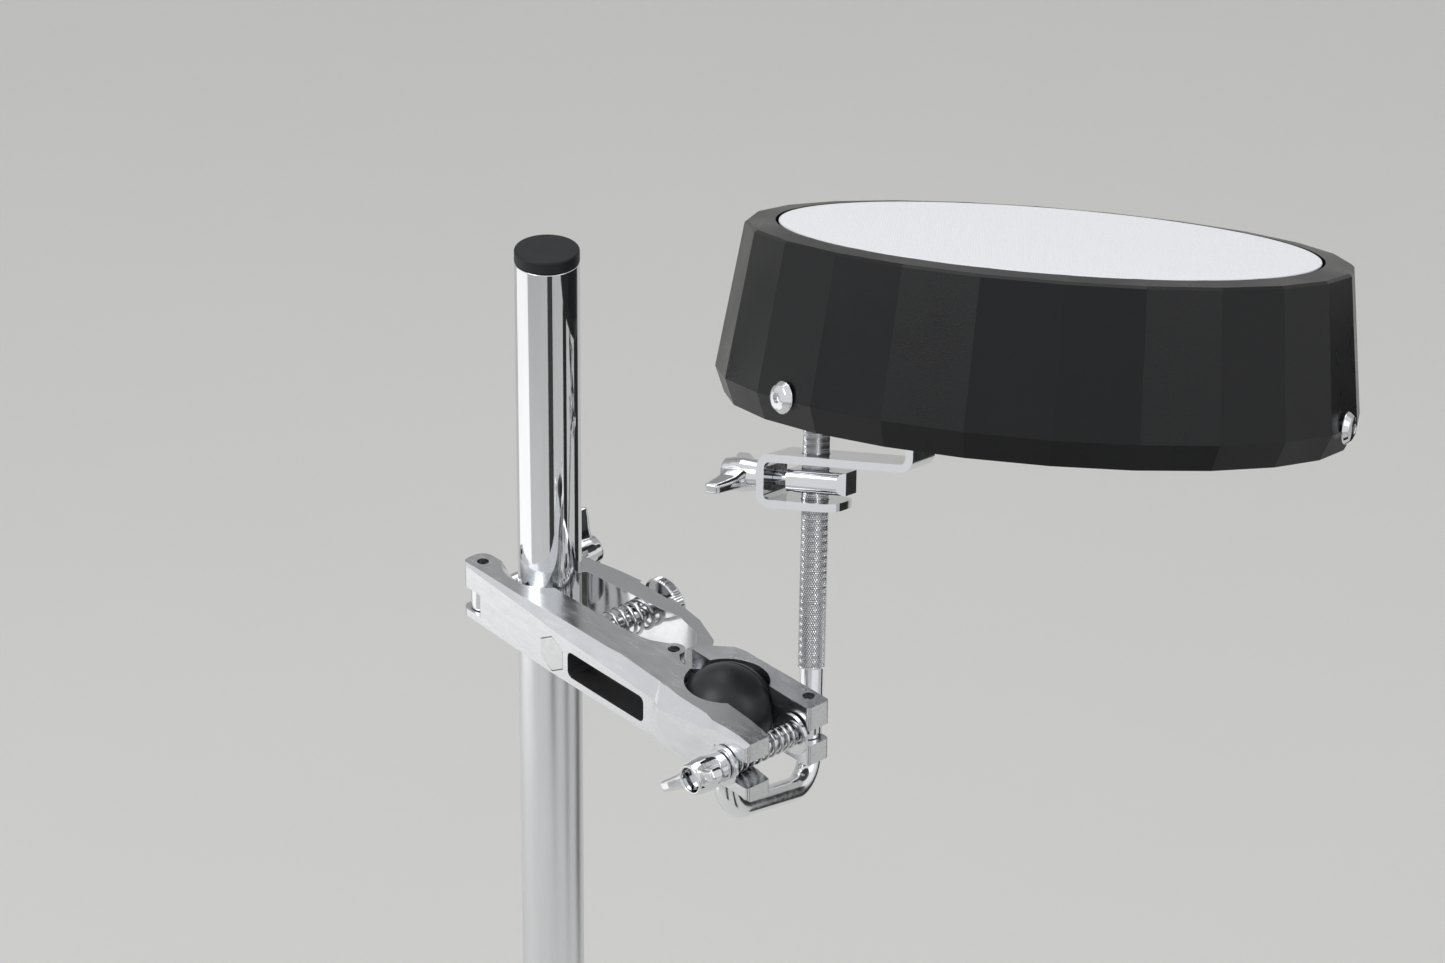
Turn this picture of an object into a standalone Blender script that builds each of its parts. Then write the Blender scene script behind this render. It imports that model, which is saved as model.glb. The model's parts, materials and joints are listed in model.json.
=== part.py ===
"""Drum practice pad on a stand tube, carried by a hinged clamp with a ball joint and a bent rod.

All sizes are in millimetres and the helpers turn them into metres. The origin is the centre of the
tube's lower end, +Z runs up the tube, +X along the clamp from the tube to the ball, +Y to the rear.
"""

import math

import bmesh
import bpy
from mathutils import Matrix, Vector

MM = 0.001
GAP = 0.3  # clearance between neighbouring pieces
WELD = 1e-6  # metres
BEYOND = 4.0  # how far a cutter runs past the surface it cuts
ROUND = 24  # sides of a small round shape

# Stand tube
TUBE_RADIUS = 12.7
TUBE_WALL = 1.5
TUBE_TOP = 349.0
CAP_TOP = 354.5
CAP_PLUG = 14.0
TUBE_SIDES = 48

# Clamp, common to the body and its two jaws
CLAMP_LOW = 189.5
CLAMP_TOP = 215.0
HINGE = (82.1, -6.1)
PIN_RADIUS = 2.1
PIN_HOLE = PIN_RADIUS + GAP
PIN_LOW = CLAMP_LOW + 1.0
PIN_TOP = CLAMP_TOP - 2.5
KNUCKLE_RADIUS = 4.5
KNUCKLE_LOW = 195.3
KNUCKLE_SPLIT = 202.0
KNUCKLE_TOP = 208.7

# Tube side of the clamp
SEAT_SLOPE = math.radians(32)
SEAT_FLARE_RADIUS = 19.2
SEAT_FLARE_DEPTH = 8.0
TUBE_PIN = (-18.7, -18.9)
TUBE_BOLT_Z = 199.5
TUBE_SLOT = 5.0  # half height of the forks that the tube swing bolt lies in
TUBE_JAW_LOW = 191.0
TUBE_JAW_TOP = 209.0
TUBE_JAW_BACK = 19.5
TUBE_WASHER_Y = TUBE_JAW_BACK + 1.6
ADJUSTER_X = 34.7
ADJUSTER_Z = 200.0
ADJUSTER_RADIUS = 3.0
HEX_FLATS = 13.2
HEX_HEIGHT = 3.8
FRONT_AT_HEX = -28.0
JAW_SPOTFACE_Y = 24.3
KNOB_Y = 27.8
KNOB_RADIUS = 11.5
KNOB_THICKNESS = 4.4

# Ball side of the clamp
BALL_CENTRE = (113.3, -6.2, 202.0)
BALL_RADIUS = 18.6
SOCKET_RADIUS = BALL_RADIUS + 0.4
MOUTH_RADIUS = 16.6
JAW_PIN = (141.8, 10.0)
BALL_BOLT_Z = 201.5
BALL_SLOT = 5.6  # half height of the slot in the body's end
JAW_SLOT = 3.3  # half height of the slot in the ball jaw's end
JAW_FACE_Y = 3.2
FRONT_AT_BALL = -32.0

# Swing bolts, wing nuts and washers
SHANK_RADIUS = 3.6
EYE_RADIUS = 5.0
WASHER_THICKNESS = 1.5
WING_HUB_LENGTH = 16.0
WING_SPAN = 17.5
SPRING_ROUNDING = 1  # gives the wire six sides

# Bent rod. Its frame stands on the ball centre and leans away from the front.
LEAN = math.radians(20.5)
LEAN_AZIMUTH = math.radians(136.5)
ROD_RADIUS = 4.75
ROD_BEND = 13.0
ROD_IN_BALL = 7.0
STEM_LENGTH = 39.3
RUN_LENGTH = 61.7
RUN_AZIMUTH = math.radians(106.0)
KNURL_RADIUS = 5.35
KNURL_START = 47.3
ROD_TOP = 146.0
ROD_HOLE = KNURL_RADIUS + 0.35

# Bracket. X runs from the rod to the pad, Z up the rod.
BRACKET_AZIMUTH = math.radians(25.1)
STRIP = 3.2
STRIP_WIDTH = 24.0
LOWER_ARM_Z = 112.2
UPPER_ARM_Z = 130.2
WEB_X = -18.6
LEG_X = 43.5
LOWER_ARM_END = 13.0
FLANGE_LENGTH = 42.0
STRIP_BEND = 3.8
EYE_Z = (LOWER_ARM_Z + UPPER_ARM_Z) / 2
EYE_HEIGHT = 9.0
EYE_WIDTH = 17.0
EYE_START = -9.2
EYE_END = 15.0
EYE_SHANK = 2.9

# Pad. Its frame's origin is the centre of the playing surface, Z the surface's normal.
PAD_REACH = 94.1
PAD_HEIGHT = 221.3
PAD_DROOP = math.radians(3.3)
FACETS = 24
SHEET_RADIUS = 103.6
SHEET_THICKNESS = 1.2
RUBBER_THICKNESS = 8.0
MOUTH_OF_SHELL = 104.9
RIM_RADIUS = 116.5
RIM_DROP = 1.5
WAIST_RADIUS = 123.7
WAIST_Z = -58.0
FOOT_RADIUS = 119.5
SHELL_DEPTH = 68.0
SHELL_WALL = 3.2
BOARD_TOP = -52.0
BOARD_LOW = -60.0
BOARD_RADIUS = 115.5
SCREW_Z = -57.0
SCREW_AZIMUTHS = (0.0, 120.0, 240.0)
SCREW_SHANK = 2.5
SCREW_LENGTH = 14.0
BRACKET_SCREWS_X = (-34.0, -17.0)

MATERIALS = {
    "tube_chrome": ((0.82, 0.83, 0.85), 0.06, 1.0),
    "cast_metal": ((0.72, 0.73, 0.75), 0.24, 1.0),
    "chrome": ((0.78, 0.79, 0.81), 0.10, 1.0),
    "spring_steel": ((0.62, 0.63, 0.64), 0.22, 1.0),
    "cap_plastic": ((0.030, 0.031, 0.034), 0.55, 0.0),
    "ball_plastic": ((0.022, 0.023, 0.025), 0.38, 0.0),
    "shell_plastic": ((0.012, 0.013, 0.015), 0.33, 0.0),
    "sheet_fabric": ((0.86, 0.87, 0.89), 0.80, 0.0),
    "rubber": ((0.025, 0.025, 0.027), 0.85, 0.0),
    "foam": ((0.10, 0.10, 0.11), 0.95, 0.0),
    "board": ((0.05, 0.05, 0.055), 0.70, 0.0),
}


# Scene helpers


def new_collection(name):
    collection = bpy.data.collections.new(name)
    bpy.context.scene.collection.children.link(collection)
    return collection


def clear_scene():
    for obj in list(bpy.data.objects):
        bpy.data.objects.remove(obj, do_unlink=True)


def material(name):
    """The named material, made the first time it is asked for."""
    found = bpy.data.materials.get(name)
    if found:
        return found
    colour, roughness, metallic = MATERIALS[name]
    made = bpy.data.materials.new(name)
    made.use_nodes = True
    shader = made.node_tree.nodes["Principled BSDF"]
    shader.inputs["Base Color"].default_value = (*colour, 1.0)
    shader.inputs["Roughness"].default_value = roughness
    shader.inputs["Metallic"].default_value = metallic
    return made


def move_to(obj, collection):
    for old in list(obj.users_collection):
        old.objects.unlink(obj)
    collection.objects.link(obj)


def helper(obj):
    """Makes an object a cutter, or a piece that a Boolean joins to another."""
    move_to(obj, bpy.data.collections["cutters"])
    obj.hide_render = True
    obj.display_type = "WIRE"
    return obj


def joint_frame(name, point, parent=None, rotation=None):
    """An empty on a joint's axis, which carries the pieces of one moving body."""
    empty = bpy.data.objects.new(name + "_frame", None)
    empty.empty_display_size = 0.02
    bpy.data.collections["practice_pad"].objects.link(empty)
    turned_by = rotation.to_4x4() if rotation else Matrix.Identity(4)
    placed = Matrix.Translation(Vector(point) * MM) @ turned_by
    if parent:
        empty.parent = parent
        empty.matrix_parent_inverse = parent.matrix_world.inverted()
    empty.matrix_world = placed
    bpy.context.view_layer.update()
    return empty


def piece(obj, name, finish, body=None):
    """Names a finished sub-part, gives it its material and hangs it on its body's empty."""
    obj.name = name
    obj.data.name = name
    obj.data.materials.clear()
    obj.data.materials.append(material(finish))
    move_to(obj, bpy.data.collections["practice_pad"])
    if body:
        obj.parent = body
        obj.matrix_parent_inverse = body.matrix_world.inverted()
    obj.data.shade_smooth()
    obj.data.set_sharp_from_angle(angle=math.radians(32))
    return obj


def boolean(obj, operation, others):
    for other in others:
        change = obj.modifiers.new(operation.lower(), "BOOLEAN")
        change.operation = operation
        change.object = helper(other)
    return obj


def cut(obj, *others):
    return boolean(obj, "DIFFERENCE", others)


def join(obj, *others):
    return boolean(obj, "UNION", others)


# Shape helpers


def placed(place, x=0.0, y=0.0, z=0.0):
    """The frame `place`, shifted by millimetres along its own axes."""
    return place @ Matrix.Translation(Vector((x, y, z)) * MM)


def world(x=0.0, y=0.0, z=0.0):
    return Matrix.Translation(Vector((x, y, z)) * MM)


def facing(direction, x, y, z, upright=(0, 0, 1)):
    """A frame at a point whose Z runs along `direction`."""
    axis = Vector(direction).normalized()
    across = Vector(upright).cross(axis)
    if across.length < 0.5:
        across = Vector((1, 0, 0)).cross(axis) if abs(axis.x) < 0.5 else Vector((0, 1, 0))
    across.normalize()
    turned_to = Matrix((across, axis.cross(across), axis)).transposed()
    return world(x, y, z) @ turned_to.to_4x4()


def cylinder(place, radius, low, high, sides=ROUND, top_radius=None):
    """A cylinder or cone on the frame's Z axis, from `low` to `high`."""
    top_radius = radius if top_radius is None else top_radius
    bpy.ops.mesh.primitive_cone_add(
        vertices=sides,
        radius1=radius * MM,
        radius2=top_radius * MM,
        depth=(high - low) * MM,
    )
    obj = bpy.context.active_object
    obj.matrix_world = placed(place, z=(low + high) / 2)
    return obj


def box(place, low, high):
    """A box between two corners given in the frame."""
    low, high = Vector(low) * MM, Vector(high) * MM
    bpy.ops.mesh.primitive_cube_add(size=1)
    obj = bpy.context.active_object
    obj.data.transform(Matrix.Diagonal((*(high - low), 1)))
    obj.matrix_world = place @ Matrix.Translation((low + high) / 2)
    return obj


def sphere(place, radius, segments=32, rings=16):
    bpy.ops.mesh.primitive_uv_sphere_add(segments=segments, ring_count=rings, radius=radius * MM)
    obj = bpy.context.active_object
    obj.matrix_world = place
    return obj


def rounded(points, steps=4):
    """A closed outline. A corner given as (x, y, radius) becomes an arc."""
    outline = []
    for i, corner in enumerate(points):
        here = Vector(corner[:2])
        if len(corner) < 3:
            outline.append(here)
            continue
        before, after = Vector(points[i - 1][:2]), points[(i + 1) % len(points)]
        outline += corner_arc(before, here, after, corner[2], steps)
    return outline


def corner_arc(before, here, after, radius, steps):
    """The arc of `radius` that rounds the corner `here`."""
    back = (before - here).normalized()
    on = (Vector(after[:2]) - here).normalized()
    half = back.angle(on) / 2
    centre = here + (back + on).normalized() * (radius / math.sin(half))
    start = here + back * (radius / math.tan(half)) - centre
    swept = math.pi - 2 * half
    if start.cross(back) > 0:
        swept = -swept
    return [centre + Matrix.Rotation(swept * k / steps, 2) @ start for k in range(steps + 1)]


def mesh_of(obj):
    """The mesh object that a curve evaluates to, with its caps welded. The curve is removed."""
    bpy.context.view_layer.update()
    graph = bpy.context.evaluated_depsgraph_get()
    mesh = bpy.data.meshes.new_from_object(obj.evaluated_get(graph))
    shape = bmesh.new()
    shape.from_mesh(mesh)
    bmesh.ops.remove_doubles(shape, verts=shape.verts, dist=WELD)
    bmesh.ops.recalc_face_normals(shape, faces=shape.faces)
    shape.to_mesh(mesh)
    shape.free()
    made = bpy.data.objects.new("shape", mesh)
    bpy.context.scene.collection.objects.link(made)
    made.matrix_world = obj.matrix_world
    bpy.data.objects.remove(obj, do_unlink=True)
    return made


def new_curve(dimensions):
    curve = bpy.data.curves.new("outline", "CURVE")
    curve.dimensions = dimensions
    obj = bpy.data.objects.new("outline", curve)
    bpy.context.scene.collection.objects.link(obj)
    return obj, curve


def plate(place, outline, low, high, holes=()):
    """A flat outline in the frame's XY plane, extruded from `low` to `high`."""
    obj, curve = new_curve("2D")
    curve.fill_mode = "BOTH"
    curve.extrude = (high - low) / 2 * MM
    for points in (outline, *holes):
        spline = curve.splines.new("POLY")
        spline.points.add(len(points) - 1)
        for point, at in zip(spline.points, points):
            point.co = (at[0] * MM, at[1] * MM, 0, 1)
        spline.use_cyclic_u = True
    obj.matrix_world = placed(place, z=(low + high) / 2)
    return mesh_of(obj)


def wire(place, points, radius, resolution=4):
    """A round bar or wire along a line of points."""
    obj, curve = new_curve("3D")
    curve.bevel_depth = radius * MM
    curve.bevel_resolution = resolution
    curve.use_fill_caps = True
    spline = curve.splines.new("POLY")
    spline.points.add(len(points) - 1)
    for point, at in zip(spline.points, points):
        point.co = (*(Vector(at) * MM), 1)
    obj.matrix_world = place
    return mesh_of(obj)


def turned(place, profile, steps=ROUND):
    """A profile of (radius, height) points, top to bottom on its outer side, turned about Z."""
    mesh = bpy.data.meshes.new("profile")
    closed = profile[0][0] > 0
    edges = [(i, i + 1) for i in range(len(profile) - 1)]
    if closed:
        edges.append((len(profile) - 1, 0))
    mesh.from_pydata([(r * MM, 0, z * MM) for r, z in profile], edges, [])
    obj = bpy.data.objects.new("turned", mesh)
    bpy.context.scene.collection.objects.link(obj)
    obj.matrix_world = place
    screw = obj.modifiers.new("turn", "SCREW")
    screw.axis = "Z"
    screw.steps = screw.render_steps = steps
    screw.use_merge_vertices = True
    screw.merge_threshold = 1e-5
    screw.use_smooth_shade = False
    return obj


def ring(place, outer, inner, low, high, steps=ROUND):
    return turned(place, [(outer, high), (outer, low), (inner, low), (inner, high)], steps)


def loft(sections):
    """A closed solid through polygons of equal point count, given as lists of (x, y, z)."""
    shape = bmesh.new()
    rows = [[shape.verts.new(Vector(p) * MM) for p in section] for section in sections]
    count = len(rows[0])
    for row, after in zip(rows, rows[1:]):
        for i in range(count):
            j = (i + 1) % count
            shape.faces.new((row[i], row[j], after[j], after[i]))
    shape.faces.new(rows[0])
    shape.faces.new(rows[-1])
    bmesh.ops.recalc_face_normals(shape, faces=shape.faces)
    mesh = bpy.data.meshes.new("loft")
    shape.to_mesh(mesh)
    shape.free()
    obj = bpy.data.objects.new("loft", mesh)
    bpy.context.scene.collection.objects.link(obj)
    return obj


def coil(radius, low, high, turns, steps=10):
    """Points of a helix about Z."""
    count = turns * steps
    return [
        (
            radius * math.cos(2 * math.pi * k / steps),
            radius * math.sin(2 * math.pi * k / steps),
            low + (high - low) * k / count,
        )
        for k in range(count + 1)
    ]


def upright(point):
    """The frame of a vertical pin."""
    return world(point[0], point[1])


# Frames of the leaning parts


def rod_frame():
    across = Vector((-math.sin(LEAN_AZIMUTH), math.cos(LEAN_AZIMUTH), 0))
    return world(*BALL_CENTRE) @ Matrix.Rotation(LEAN, 4, across)


def elbow():
    """The corner of the bent rod's run and its upright, in the rod frame."""
    return Vector(
        (RUN_LENGTH * math.cos(RUN_AZIMUTH), RUN_LENGTH * math.sin(RUN_AZIMUTH), -STEM_LENGTH)
    )


def bracket_frame():
    return placed(rod_frame(), *elbow()) @ Matrix.Rotation(BRACKET_AZIMUTH, 4, "Z")


def pad_frame():
    return placed(bracket_frame(), PAD_REACH, 0, PAD_HEIGHT) @ Matrix.Rotation(PAD_DROOP, 4, "Y")


# Stand tube


def stand_tube():
    tube = ring(world(), TUBE_RADIUS, TUBE_RADIUS - TUBE_WALL, 0, TUBE_TOP, TUBE_SIDES)
    return piece(tube, "stand_tube", "tube_chrome")


def tube_cap():
    edge = 0.8
    plug = TUBE_RADIUS - TUBE_WALL - GAP
    seat = TUBE_TOP + GAP
    profile = [
        (0, CAP_TOP),
        (TUBE_RADIUS - edge, CAP_TOP),
        (TUBE_RADIUS, CAP_TOP - edge),
        (TUBE_RADIUS, seat),
        (plug, seat),
        (plug, seat - CAP_PLUG),
        (0, seat - CAP_PLUG),
    ]
    return piece(turned(world(), profile, TUBE_SIDES), "tube_cap", "cap_plastic")


# Clamp body


def body_outline():
    boss = [
        (HINGE[0] + KNUCKLE_RADIUS * math.cos(a), HINGE[1] + KNUCKLE_RADIUS * math.sin(a))
        for a in [math.radians(-12 + 19 * k) for k in range(10)]
    ]
    front = [
        (-25, -25, 4),
        (0, -26.2),
        (34, FRONT_AT_HEX),
        (64, -28.6),
        (97, -29),
        (102, -31),
        (126, -31.8),
        (139, FRONT_AT_BALL),
        (154, FRONT_AT_BALL, 1.5),
    ]
    ball_end = [(154, -20.6, 1), (138.9, -18.3), (127.5, -17.3), (98.9, -11.9), (89.9, -9.7)]
    tube_end = [(73.8, -7), (70.9, -8.6), (61, -10.8), (17, -10.8), (-4, -13.1), (-25, -13.1, 5)]
    return rounded(front + ball_end + boss + tube_end)


def front_bevel(stations, outward):
    """A long wedge that takes the body's front edge off.

    A station is (x, y and z on the flat face, y and z on the front).
    """
    sections = []
    for x, edge_y, edge_z, front_y, front_z in stations:
        edge, front = Vector((edge_y, edge_z)), Vector((front_y, front_z))
        along = (edge - front).normalized() * BEYOND
        past_edge, past_front = edge + along, front - along
        sections.append(
            [
                (x, past_edge.x, past_edge.y),
                (x, past_front.x, past_front.y),
                (x, past_front.x, past_edge.y + outward),
            ]
        )
    return loft(sections)


def top_bevel():
    top = CLAMP_TOP
    return front_bevel(
        [
            (-29, -24.6, top, -24.9, top - 0.3),
            (0, -24.6, top, -26.2, 212.9),
            (34, -24.5, top, -28.0, 211.0),
            (64, -24.5, top, -28.6, 209.6),
            (97, -25.9, top, -29.0, 207.6),
            (102, -26.3, top, -31.0, 206.4),
            (126, -28.0, top, -31.8, 210.3),
            (139, -29.2, top, -32.0, 213.0),
            (158, -31.2, top, -32.0, 214.2),
        ],
        1.0,
    )


def low_bevel():
    depth = 1.8
    return front_bevel(
        [
            (x, y + depth, CLAMP_LOW, y, CLAMP_LOW + depth)
            for x, y in ((-29, -24.9), (0, -26.2), (34, -28), (97, -29), (102, -31), (158, -32.1))
        ],
        -1.0,
    )


def hexagon(flats):
    corner = flats / math.sqrt(3)
    return [
        Vector((corner * math.sin(math.pi / 3 * k), corner * math.cos(math.pi / 3 * k)))
        for k in range(6)
    ]


def along_y(x, y, z):
    """A frame whose Z runs to the rear, with its Y up."""
    return world(x, y, z) @ Matrix.Rotation(math.radians(-90), 4, "X") @ Matrix.Rotation(math.pi, 4, "Z")


def tube_seat():
    """The V that the tube lies in, with a 32 degree slope either side."""
    apex = -(TUBE_RADIUS + GAP) / math.cos(SEAT_SLOPE)
    half = 14.0
    ends = apex + half * math.tan(SEAT_SLOPE)
    points = [(0, apex), (half, ends), (-half, ends)]
    return plate(world(), points, CLAMP_LOW - BEYOND, CLAMP_TOP + BEYOND)


def socket_cutters():
    centre = world(*BALL_CENTRE)
    mouth = cylinder(
        world(BALL_CENTRE[0], BALL_CENTRE[1]), MOUTH_RADIUS, CLAMP_LOW - BEYOND, CLAMP_TOP + BEYOND, 36
    )
    return mouth, sphere(centre, SOCKET_RADIUS)


def pin_hole(point, radius=PIN_HOLE):
    return cylinder(upright(point), radius, CLAMP_LOW - BEYOND, CLAMP_TOP + BEYOND, 20)


def clamp_body():
    body = plate(world(), body_outline(), CLAMP_LOW, CLAMP_TOP)
    flare = cylinder(
        world(),
        TUBE_RADIUS + GAP - 1.0,
        CLAMP_TOP - SEAT_FLARE_DEPTH,
        CLAMP_TOP + 1.0,
        TUBE_SIDES,
        top_radius=SEAT_FLARE_RADIUS + 1.0,
    )
    window = rounded([(44.5, 194.5, 2.5), (90.6, 194.5, 2.5), (90.6, 205.8, 2.5), (44.5, 205.8, 2.5)], 3)
    window_floor = -17.0
    front = -36.0
    face = along_y(0, front, 0)
    hex_pocket_floor = FRONT_AT_HEX + HEX_HEIGHT + GAP
    cut(
        body,
        top_bevel(),
        low_bevel(),
        tube_seat(),
        flare,
        *socket_cutters(),
        pin_hole(HINGE),
        pin_hole(TUBE_PIN),
        cylinder(upright(HINGE), KNUCKLE_RADIUS + 0.5, KNUCKLE_LOW - GAP, KNUCKLE_TOP + GAP),
        box(world(z=TUBE_BOLT_Z), (-34, -40, -TUBE_SLOT), (-12.5, 0, TUBE_SLOT)),
        box(world(z=BALL_BOLT_Z), (135.2, -40, -BALL_SLOT), (160, 0, BALL_SLOT)),
        plate(face, [(-x, z) for x, z in window], 0, window_floor - front),
        plate(
            along_y(ADJUSTER_X, front, ADJUSTER_Z), hexagon(HEX_FLATS + 2 * GAP), 0, hex_pocket_floor - front
        ),
        cylinder(along_y(ADJUSTER_X, front, ADJUSTER_Z), ADJUSTER_RADIUS + GAP, 0, 40),
    )
    return piece(body, "clamp_body", "cast_metal")


def clamp_pin(name, point, body=None):
    return piece(cylinder(upright(point), PIN_RADIUS, PIN_LOW, PIN_TOP, 20), name, "spring_steel", body)


# Adjuster: hex bolt, spring and knurled nut


def adjuster_bolt():
    place = along_y(ADJUSTER_X, FRONT_AT_HEX, ADJUSTER_Z)
    end = KNOB_Y + KNOB_THICKNESS + 2.5 - FRONT_AT_HEX
    bolt = plate(place, hexagon(HEX_FLATS), 0, HEX_HEIGHT)
    join(bolt, cylinder(place, ADJUSTER_RADIUS, HEX_HEIGHT - 1, end))
    return piece(bolt, "adjuster_bolt", "chrome")


def jaw_spring():
    start, end = -10.1, 14.9
    place = along_y(ADJUSTER_X, 0, ADJUSTER_Z)
    spring = wire(place, coil(6.3, start, end, 6), 0.75, SPRING_ROUNDING)
    return piece(spring, "jaw_spring", "spring_steel")


def knurled_nut(body):
    place = along_y(ADJUSTER_X, KNOB_Y, ADJUSTER_Z)
    edge = 0.6
    bore = ADJUSTER_RADIUS + GAP
    profile = [
        (KNOB_RADIUS - edge, KNOB_THICKNESS),
        (KNOB_RADIUS, KNOB_THICKNESS - edge),
        (KNOB_RADIUS, edge),
        (KNOB_RADIUS - edge, 0),
        (bore, 0),
        (bore, KNOB_THICKNESS),
    ]
    return piece(turned(place, profile, 36), "knurled_nut", "chrome", body)


# Tube jaw


def tube_jaw(body):
    seat = (TUBE_RADIUS + GAP + 0.45)
    outline = rounded(
        [
            (-28, 13.8),
            (-6.5, 14.1),
            (-5, 12.1),
            (0, seat),
            (5, 12.1),
            (6.5, 14),
            (25, 15.3),
            (42, 16.4),
            (57.5, 18.4),
            (72, 15.0, 6),
            (77.6, 9.5, 4),
            (77.6, 4),
            (83.4, 4),
            (84.8, 10, 3),
            (80, 16.6, 5),
            (64.3, 22.9),
            (49.8, 25.1),
            (30.5, 26.1),
            (14.3, 24.3),
            (-4.8, 20.6),
            (-14, TUBE_JAW_BACK),
            (-28, TUBE_JAW_BACK, 3),
        ]
    )
    jaw = plate(world(), outline, TUBE_JAW_LOW, TUBE_JAW_TOP)
    arm_low, arm_top = KNUCKLE_LOW, KNUCKLE_SPLIT - GAP / 2
    hole = KNOB_RADIUS + 0.8
    place = along_y(ADJUSTER_X, 0, ADJUSTER_Z)
    slot = ADJUSTER_RADIUS + 0.6
    join(
        jaw,
        box(world(), (77.9, -6.1, arm_low + GAP), (83.2, 7, arm_top - GAP)),
        cylinder(upright(HINGE), KNUCKLE_RADIUS, arm_low, arm_top),
    )
    cut(
        jaw,
        pin_hole(HINGE),
        box(world(z=TUBE_BOLT_Z), (-34, 5, -TUBE_SLOT), (-12.5, 30, TUBE_SLOT)),
        cylinder(place, hole, JAW_SPOTFACE_Y, 32, 36),
        box(place, (-slot, -slot, 8), (slot + 1.8, slot, 30)),
    )
    return piece(jaw, "tube_jaw", "chrome", body)


# Ball jaw


def ball_jaw(body):
    outline = rounded(
        [
            (86.4, -0.5),
            (97.5, -1),
            (126.9, 3.6),
            (136.1, JAW_FACE_Y),
            (149.3, JAW_FACE_Y, 1.5),
            (149.3, 14, 1.5),
            (101.1, 14),
            (96.3, 12.8),
            (92, 8.9),
            (86.4, 3.5),
        ]
    )
    jaw = plate(world(), outline, CLAMP_LOW, CLAMP_TOP)
    arm_low, arm_top = KNUCKLE_SPLIT + GAP / 2, KNUCKLE_TOP
    arm = [(79.5, -4), (83.9, -8.6), (92.5, -0.3), (92.5, 3), (88, 3.3)]
    join(
        jaw,
        plate(world(), [Vector(p) for p in arm], arm_low + GAP, arm_top - GAP),
        cylinder(upright(HINGE), KNUCKLE_RADIUS, arm_low, arm_top),
    )
    cut(
        jaw,
        *socket_cutters(),
        pin_hole(HINGE),
        pin_hole(JAW_PIN),
        box(world(z=BALL_BOLT_Z), (134.5, -2, -JAW_SLOT), (156, 20, JAW_SLOT)),
    )
    return piece(jaw, "ball_jaw", "cast_metal", body)


# Swing bolts, washers and wing nuts


def swing_bolt(name, point, z, to_rear, eye_height, neck, length, body):
    """A bolt with an eye on a vertical pin. Its flat neck fits the fork, and the shank begins past it."""
    place = world(point[0], point[1], z)
    way = 1 if to_rear else -1
    bolt = cylinder(place, EYE_RADIUS, -eye_height / 2, eye_height / 2)
    neck_half = min(3.0, eye_height / 2)
    near, far = sorted((0, way * (neck + 2)))
    join(
        bolt,
        box(place, (-neck_half, near, -eye_height / 2), (neck_half, far, eye_height / 2)),
        cylinder(facing((0, way, 0), point[0], point[1], z), SHANK_RADIUS, neck, length),
    )
    cut(bolt, cylinder(place, PIN_HOLE, -10, 10, 20))
    return piece(bolt, name, "chrome", body)


def washer(name, place, radius, hole, body=None):
    return piece(ring(place, radius, hole, 0, WASHER_THICKNESS), name, "chrome", body)


def wing_nut(name, place, bore, body):
    """A wing nut that stands on the frame's XY plane, its wings along X."""
    profile = [
        (6.4, WING_HUB_LENGTH),
        (7.3, 9.0),
        (6.6, 3.0),
        (6.0, 0),
        (bore, 0),
        (bore, 10.0),
        (bore + 0.9, 10.0),
        (bore + 0.9, WING_HUB_LENGTH),
    ]
    nut = turned(place, profile)
    half = 2.2
    blade = [(5, 4.5), (12.5, 8.5, 3), (WING_SPAN, 12.5, 1), (WING_SPAN - 1.5, 17.5, 1.5), (5, 15.2)]
    flat = place @ Matrix.Rotation(math.radians(90), 4, "X")
    for side in (1, -1):
        outline = rounded([(side * x, *rest) for x, *rest in blade], 3)
        join(nut, plate(flat, outline, -half, half))
    cut(nut, cylinder(place, bore, -2, WING_HUB_LENGTH + 2))
    return piece(nut, name, "chrome", body)


def ball_spring(body):
    place = along_y(JAW_PIN[0], 0, BALL_BOLT_Z)
    spring = wire(place, coil(4.6, -30.3, -0.1, 9), 0.6, SPRING_ROUNDING)
    return piece(spring, "ball_spring", "spring_steel", body)


# Ball and bent rod


def ball(body):
    black = sphere(rod_frame(), BALL_RADIUS)
    cut(black, cylinder(rod_frame(), ROD_RADIUS + GAP, -BALL_RADIUS - BEYOND, ROD_IN_BALL + 0.5))
    return piece(black, "ball", "ball_plastic", body)


def bend(before, corner, after, radius, steps=7):
    """Points on the arc that rounds a corner of a bar."""
    back, on = (before - corner).normalized(), (after - corner).normalized()
    half = back.angle(on) / 2
    centre = corner + (back + on).normalized() * (radius / math.sin(half))
    start = corner + back * (radius / math.tan(half)) - centre
    turn = back.cross(on).normalized()
    swept = -(math.pi - 2 * half)
    return [centre + Matrix.Rotation(swept * k / steps, 3, turn) @ start for k in range(steps + 1)]


def bent_rod(body):
    top = Vector((0, 0, ROD_IN_BALL))
    heel = Vector((0, 0, -STEM_LENGTH))
    corner = elbow()
    end = corner + Vector((0, 0, ROD_TOP))
    points = [top, *bend(top, heel, corner, ROD_BEND), *bend(heel, corner, end, ROD_BEND)]
    points.append(corner + Vector((0, 0, KNURL_START + 5)))
    rod = wire(rod_frame(), points, ROD_RADIUS, 8)
    join(rod, cylinder(placed(rod_frame(), *corner), KNURL_RADIUS, KNURL_START, ROD_TOP))
    return piece(rod, "bent_rod", "chrome", body)


# Bracket


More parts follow.
